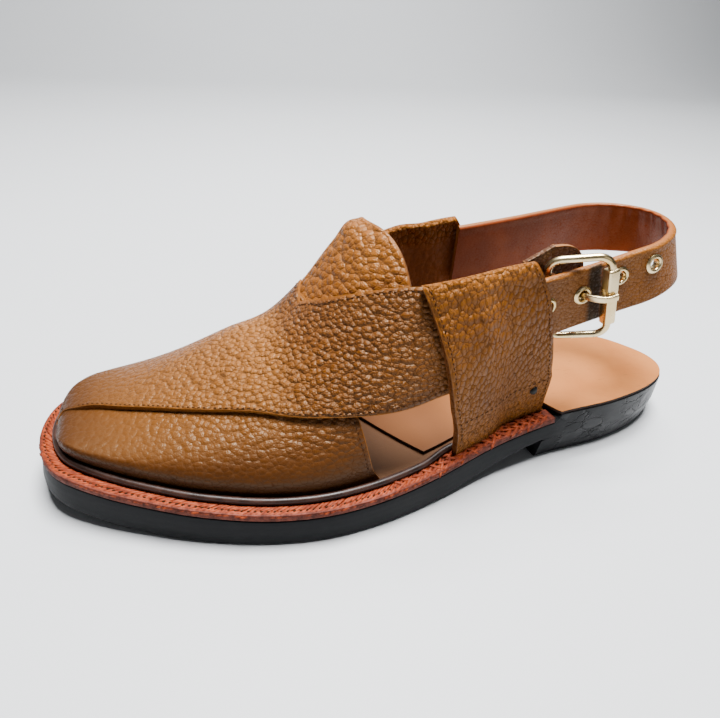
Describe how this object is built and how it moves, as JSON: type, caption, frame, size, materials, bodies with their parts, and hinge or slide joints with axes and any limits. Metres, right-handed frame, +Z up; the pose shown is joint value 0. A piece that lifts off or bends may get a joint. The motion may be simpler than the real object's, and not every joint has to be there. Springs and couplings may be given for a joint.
{
  "type": "chappal",
  "caption": "Left leather chappal: crossed vamp straps with a pointed tongue, open side windows, folded quarters, buckled sling strap round the heel, corded welt and low stacked heel.",
  "frame": {"origin": "on the floor under the middle of the bounding box", "axes": "-X towards the toe, +X towards the heel, -Y to the outer (lateral) side, +Y to the inner (medial) side, +Z up"},
  "size_m": [0.2922, 0.1036, 0.1018],
  "materials": {
    "sole_black": "painted satin black edge",
    "welt_orange": "braided orange-brown",
    "piping_brown": "glossy dark brown cord",
    "insole_tan": "matt pale tan",
    "upper_tan": "pebbled tan, half gloss",
    "lining_brown": "matt reddish brown",
    "stud_black": "black",
    "buckle_gold": "bright pale gold plate"
  },
  "bodies": {
    "root": {"outsole": "sole_black", "heel": "sole_black", "welt": "welt_orange", "piping": "piping_brown", "insole": "insole_tan", "insole_sock": "insole_tan", "upper": "upper_tan", "tongue": "upper_tan", "quarter_lateral": "upper_tan", "quarter_medial": "upper_tan", "sling_strap": "upper_tan", "buckle_chape": "lining_brown", "buckle_frame": "buckle_gold", "buckle_roller": "buckle_gold", "buckle_prong": "buckle_gold", "eyelet_1": "buckle_gold", "eyelet_2": "buckle_gold", "eyelet_3": "buckle_gold", "eyelet_4": "buckle_gold", "quarter_stud": "stud_black"}
  },
  "joints": []
}
